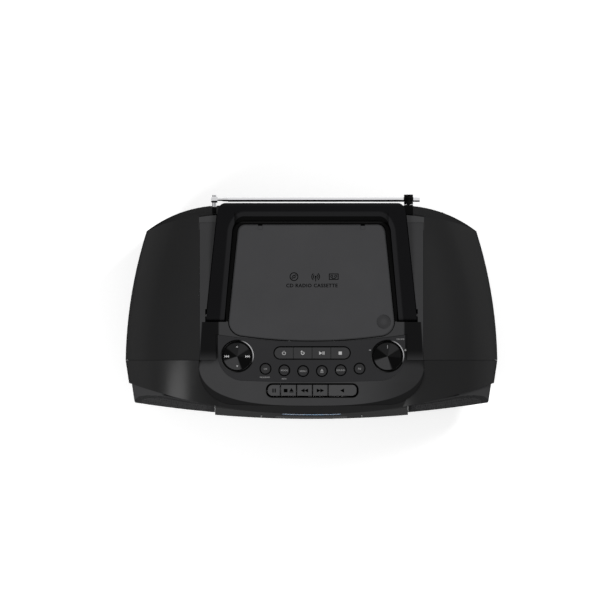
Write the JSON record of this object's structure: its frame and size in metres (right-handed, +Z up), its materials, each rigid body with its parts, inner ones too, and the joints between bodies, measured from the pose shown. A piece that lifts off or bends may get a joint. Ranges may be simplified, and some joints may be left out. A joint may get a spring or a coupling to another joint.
{
  "type": "portable disc, cassette and radio player",
  "caption": "Wide barrel-shaped portable stereo with a disc lid, carry handle, control panel, cassette door, grilles and telescopic antenna.",
  "frame": {"origin": "on the table under the middle of the overall box", "axes": "+X to the listener's right, +Y to the back, +Z up"},
  "size_m": [0.435, 0.2626, 0.168],
  "materials": {
    "shell": "satin moulded plastic, dark grey",
    "lid_plastic": "satin dark grey",
    "gloss_black": "polished black",
    "bezel_plastic": "satin grey",
    "grille_plastic": "fine mesh, dark grey",
    "window": "tinted clear",
    "dark_plastic": "dark moulded plastic",
    "rubber": "black rubber",
    "steel": "zinc plated steel",
    "chrome": "polished chrome plating",
    "board": "green circuit board",
    "key_plastic": "glossy black keys",
    "tape_key_plastic": "satin grey keys"
  },
  "bodies": {
    "cabinet": {"rear_cabinet": "shell", "front_cabinet": "shell", "top_cover": "shell", "control_bezel": "bezel_plastic", "control_panel": "gloss_black", "front_panel": "gloss_black", "speaker_grilles": "grille_plastic", "display_window": "window", "display_module": "dark_plastic", "rubber_feet": "rubber", "cabinet_screws": "steel", "antenna_brackets": "dark_plastic", "mains_inlet": "dark_plastic", "jack_sockets": "chrome", "battery_contacts": "steel", "speaker_baskets": "steel", "speaker_cones": "dark_plastic", "main_board": "board", "mains_transformer": "steel", "key_board": "dark_plastic", "cd_chassis": "dark_plastic", "drive_motors": "steel", "sled_rails": "steel", "hinge_pins": "steel", "cassette_chassis": "steel", "drive_belt": "rubber"},
    "cd_lid_body": {"cd_lid": "lid_plastic"},
    "turntable_body": {"turntable": "dark_plastic"},
    "sled_screw_body": {"sled_screw": "steel"},
    "carry_handle_body": {"carry_handle": "gloss_black"},
    "antenna_tube_body": {"antenna_tube": "chrome"},
    "antenna_middle_body": {"antenna_middle": "chrome"},
    "antenna_tip_body": {"antenna_tip": "chrome"},
    "volume_knob_body": {"volume_knob": "dark_plastic"},
    "nav_dial_body": {"nav_dial": "dark_plastic"},
    "power_key_body": {"power_key": "key_plastic"},
    "repeat_key_body": {"repeat_key": "key_plastic"},
    "play_key_body": {"play_key": "key_plastic"},
    "stop_key_body": {"stop_key": "key_plastic"},
    "mode_button_1_body": {"mode_button_1": "key_plastic"},
    "mode_button_2_body": {"mode_button_2": "key_plastic"},
    "mode_button_3_body": {"mode_button_3": "key_plastic"},
    "mode_button_4_body": {"mode_button_4": "key_plastic"},
    "mode_button_5_body": {"mode_button_5": "key_plastic"},
    "mode_button_6_body": {"mode_button_6": "key_plastic"},
    "tape_pause_key_body": {"tape_pause_key": "tape_key_plastic"},
    "tape_stop_key_body": {"tape_stop_key": "tape_key_plastic"},
    "tape_rewind_key_body": {"tape_rewind_key": "tape_key_plastic"},
    "tape_forward_key_body": {"tape_forward_key": "tape_key_plastic"},
    "tape_play_key_body": {"tape_play_key": "tape_key_plastic"},
    "cassette_door_body": {"cassette_door": "gloss_black"},
    "supply_spindle_body": {"supply_spindle": "dark_plastic"},
    "takeup_spindle_body": {"takeup_spindle": "dark_plastic"},
    "flywheel_body": {"flywheel": "steel"},
    "head_plate_body": {"head_plate": "steel"},
    "pinch_roller_body": {"pinch_roller": "rubber"},
    "battery_door_body": {"battery_door": "dark_plastic"},
    "laser_sled_body": {"laser_sled": "dark_plastic", "pickup_lens": "window"}
  },
  "joints": [
    {"name": "cd_lid_hinge", "type": "hinge", "parent": "cabinet", "child": "cd_lid_body", "pos_m": [0, 0.0937, 0.1594], "axis": [-1, 0, 0], "range_deg": [0, 45]},
    {"name": "carry_handle_hinge", "type": "hinge", "parent": "cabinet", "child": "carry_handle_body", "pos_m": [0, -0.0103, 0.156], "axis": [1, 0, 0], "range_deg": [0, 90]},
    {"name": "antenna_swing", "type": "hinge", "parent": "cabinet", "child": "antenna_tube_body", "pos_m": [0.1135, 0.1255, 0.141], "axis": [0, 1, 0], "range_deg": [0, 180]},
    {"name": "antenna_middle_slide", "type": "slide", "parent": "antenna_tube_body", "child": "antenna_middle_body", "axis": [-1, 0, 0], "range_m": [0, 0.17]},
    {"name": "antenna_tip_slide", "type": "slide", "parent": "antenna_middle_body", "child": "antenna_tip_body", "axis": [-1, 0, 0], "range_m": [0, 0.17]},
    {"name": "volume_turn", "type": "hinge", "parent": "cabinet", "child": "volume_knob_body", "pos_m": [0.089, -0.0578, 0.15876], "axis": [0, -0.1873, 0.9823], "range_deg": [-150, 150]},
    {"name": "nav_tilt", "type": "hinge", "parent": "cabinet", "child": "nav_dial_body", "pos_m": [-0.087, -0.05632, 0.151], "axis": [1, 0, 0], "range_deg": [-3, 3], "stiffness_Nm_per_rad": 1.5},
    {"name": "power_key_press", "type": "slide", "parent": "cabinet", "child": "power_key_body", "axis": [0, 0.1873, -0.9823], "range_m": [0, 0.001], "stiffness_N_per_m": 600},
    {"name": "repeat_key_press", "type": "slide", "parent": "cabinet", "child": "repeat_key_body", "axis": [0, 0.1873, -0.9823], "range_m": [0, 0.001], "stiffness_N_per_m": 600},
    {"name": "play_key_press", "type": "slide", "parent": "cabinet", "child": "play_key_body", "axis": [0, 0.1873, -0.9823], "range_m": [0, 0.001], "stiffness_N_per_m": 600},
    {"name": "stop_key_press", "type": "slide", "parent": "cabinet", "child": "stop_key_body", "axis": [0, 0.1873, -0.9823], "range_m": [0, 0.001], "stiffness_N_per_m": 600},
    {"name": "mode_button_1_press", "type": "slide", "parent": "cabinet", "child": "mode_button_1_body", "axis": [0, 0.1873, -0.9823], "range_m": [0, 0.001], "stiffness_N_per_m": 600},
    {"name": "mode_button_2_press", "type": "slide", "parent": "cabinet", "child": "mode_button_2_body", "axis": [0, 0.1873, -0.9823], "range_m": [0, 0.001], "stiffness_N_per_m": 600},
    {"name": "mode_button_3_press", "type": "slide", "parent": "cabinet", "child": "mode_button_3_body", "axis": [0, 0.1873, -0.9823], "range_m": [0, 0.001], "stiffness_N_per_m": 600},
    {"name": "mode_button_4_press", "type": "slide", "parent": "cabinet", "child": "mode_button_4_body", "axis": [0, 0.1873, -0.9823], "range_m": [0, 0.001], "stiffness_N_per_m": 600},
    {"name": "mode_button_5_press", "type": "slide", "parent": "cabinet", "child": "mode_button_5_body", "axis": [0, 0.1873, -0.9823], "range_m": [0, 0.001], "stiffness_N_per_m": 600},
    {"name": "mode_button_6_press", "type": "slide", "parent": "cabinet", "child": "mode_button_6_body", "axis": [0, 0.1873, -0.9823], "range_m": [0, 0.001], "stiffness_N_per_m": 600},
    {"name": "tape_pause_key_press", "type": "hinge", "parent": "cabinet", "child": "tape_pause_key_body", "pos_m": [0, -0.081, 0.134], "axis": [1, 0, 0], "range_deg": [0, 6], "stiffness_Nm_per_rad": 2},
    {"name": "tape_stop_key_press", "type": "hinge", "parent": "cabinet", "child": "tape_stop_key_body", "pos_m": [0, -0.081, 0.134], "axis": [1, 0, 0], "range_deg": [0, 6], "stiffness_Nm_per_rad": 2},
    {"name": "tape_rewind_key_press", "type": "hinge", "parent": "cabinet", "child": "tape_rewind_key_body", "pos_m": [0, -0.081, 0.134], "axis": [1, 0, 0], "range_deg": [0, 6], "stiffness_Nm_per_rad": 2},
    {"name": "tape_forward_key_press", "type": "hinge", "parent": "cabinet", "child": "tape_forward_key_body", "pos_m": [0, -0.081, 0.134], "axis": [1, 0, 0], "range_deg": [0, 6], "stiffness_Nm_per_rad": 2},
    {"name": "tape_play_key_press", "type": "hinge", "parent": "cabinet", "child": "tape_play_key_body", "pos_m": [0, -0.081, 0.134], "axis": [1, 0, 0], "range_deg": [0, 6], "stiffness_Nm_per_rad": 2},
    {"name": "cassette_door_hinge", "type": "hinge", "parent": "cabinet", "child": "cassette_door_body", "pos_m": [0, -0.124, 0.03], "axis": [1, 0, 0], "range_deg": [0, 30]},
    {"name": "battery_door_hinge", "type": "hinge", "parent": "cabinet", "child": "battery_door_body", "pos_m": [0, 0.1129, 0.0138], "axis": [-1, 0, 0], "range_deg": [0, 80]},
    {"name": "turntable_spin", "type": "hinge", "parent": "cabinet", "child": "turntable_body", "pos_m": [0, 0.028, 0.1468], "axis": [0, 0, 1], "continuous": true},
    {"name": "laser_sled_slide", "type": "slide", "parent": "cabinet", "child": "laser_sled_body", "axis": [0, -1, 0], "range_m": [0, 0.031]},
    {"name": "sled_screw_turn", "type": "hinge", "parent": "cabinet", "child": "sled_screw_body", "pos_m": [0.0315, 0, 0.134], "axis": [0, -1, 0], "continuous": true},
    {"name": "supply_spin", "type": "hinge", "parent": "cabinet", "child": "supply_spindle_body", "pos_m": [-0.02125, -0.111, 0.066], "axis": [0, 1, 0], "continuous": true},
    {"name": "takeup_spin", "type": "hinge", "parent": "cabinet", "child": "takeup_spindle_body", "pos_m": [0.02125, -0.111, 0.066], "axis": [0, 1, 0], "continuous": true},
    {"name": "flywheel_spin", "type": "hinge", "parent": "cabinet", "child": "flywheel_body", "pos_m": [0.033, -0.106, 0.086], "axis": [0, 1, 0], "continuous": true},
    {"name": "head_plate_slide", "type": "slide", "parent": "cabinet", "child": "head_plate_body", "axis": [0, 0, -1], "range_m": [0, 0.003]},
    {"name": "pinch_roller_spin", "type": "hinge", "parent": "head_plate_body", "child": "pinch_roller_body", "pos_m": [0.033, -0.115, 0.09465], "axis": [0, 1, 0], "continuous": true}
  ],
  "couplings": [
    {"joint": "sled_screw_turn", "follows": "laser_sled_slide", "rad_per_m": 2094.4},
    {"joint": "head_plate_slide", "follows": "tape_play_key_press", "m_per_rad": 0.0286}
  ]
}
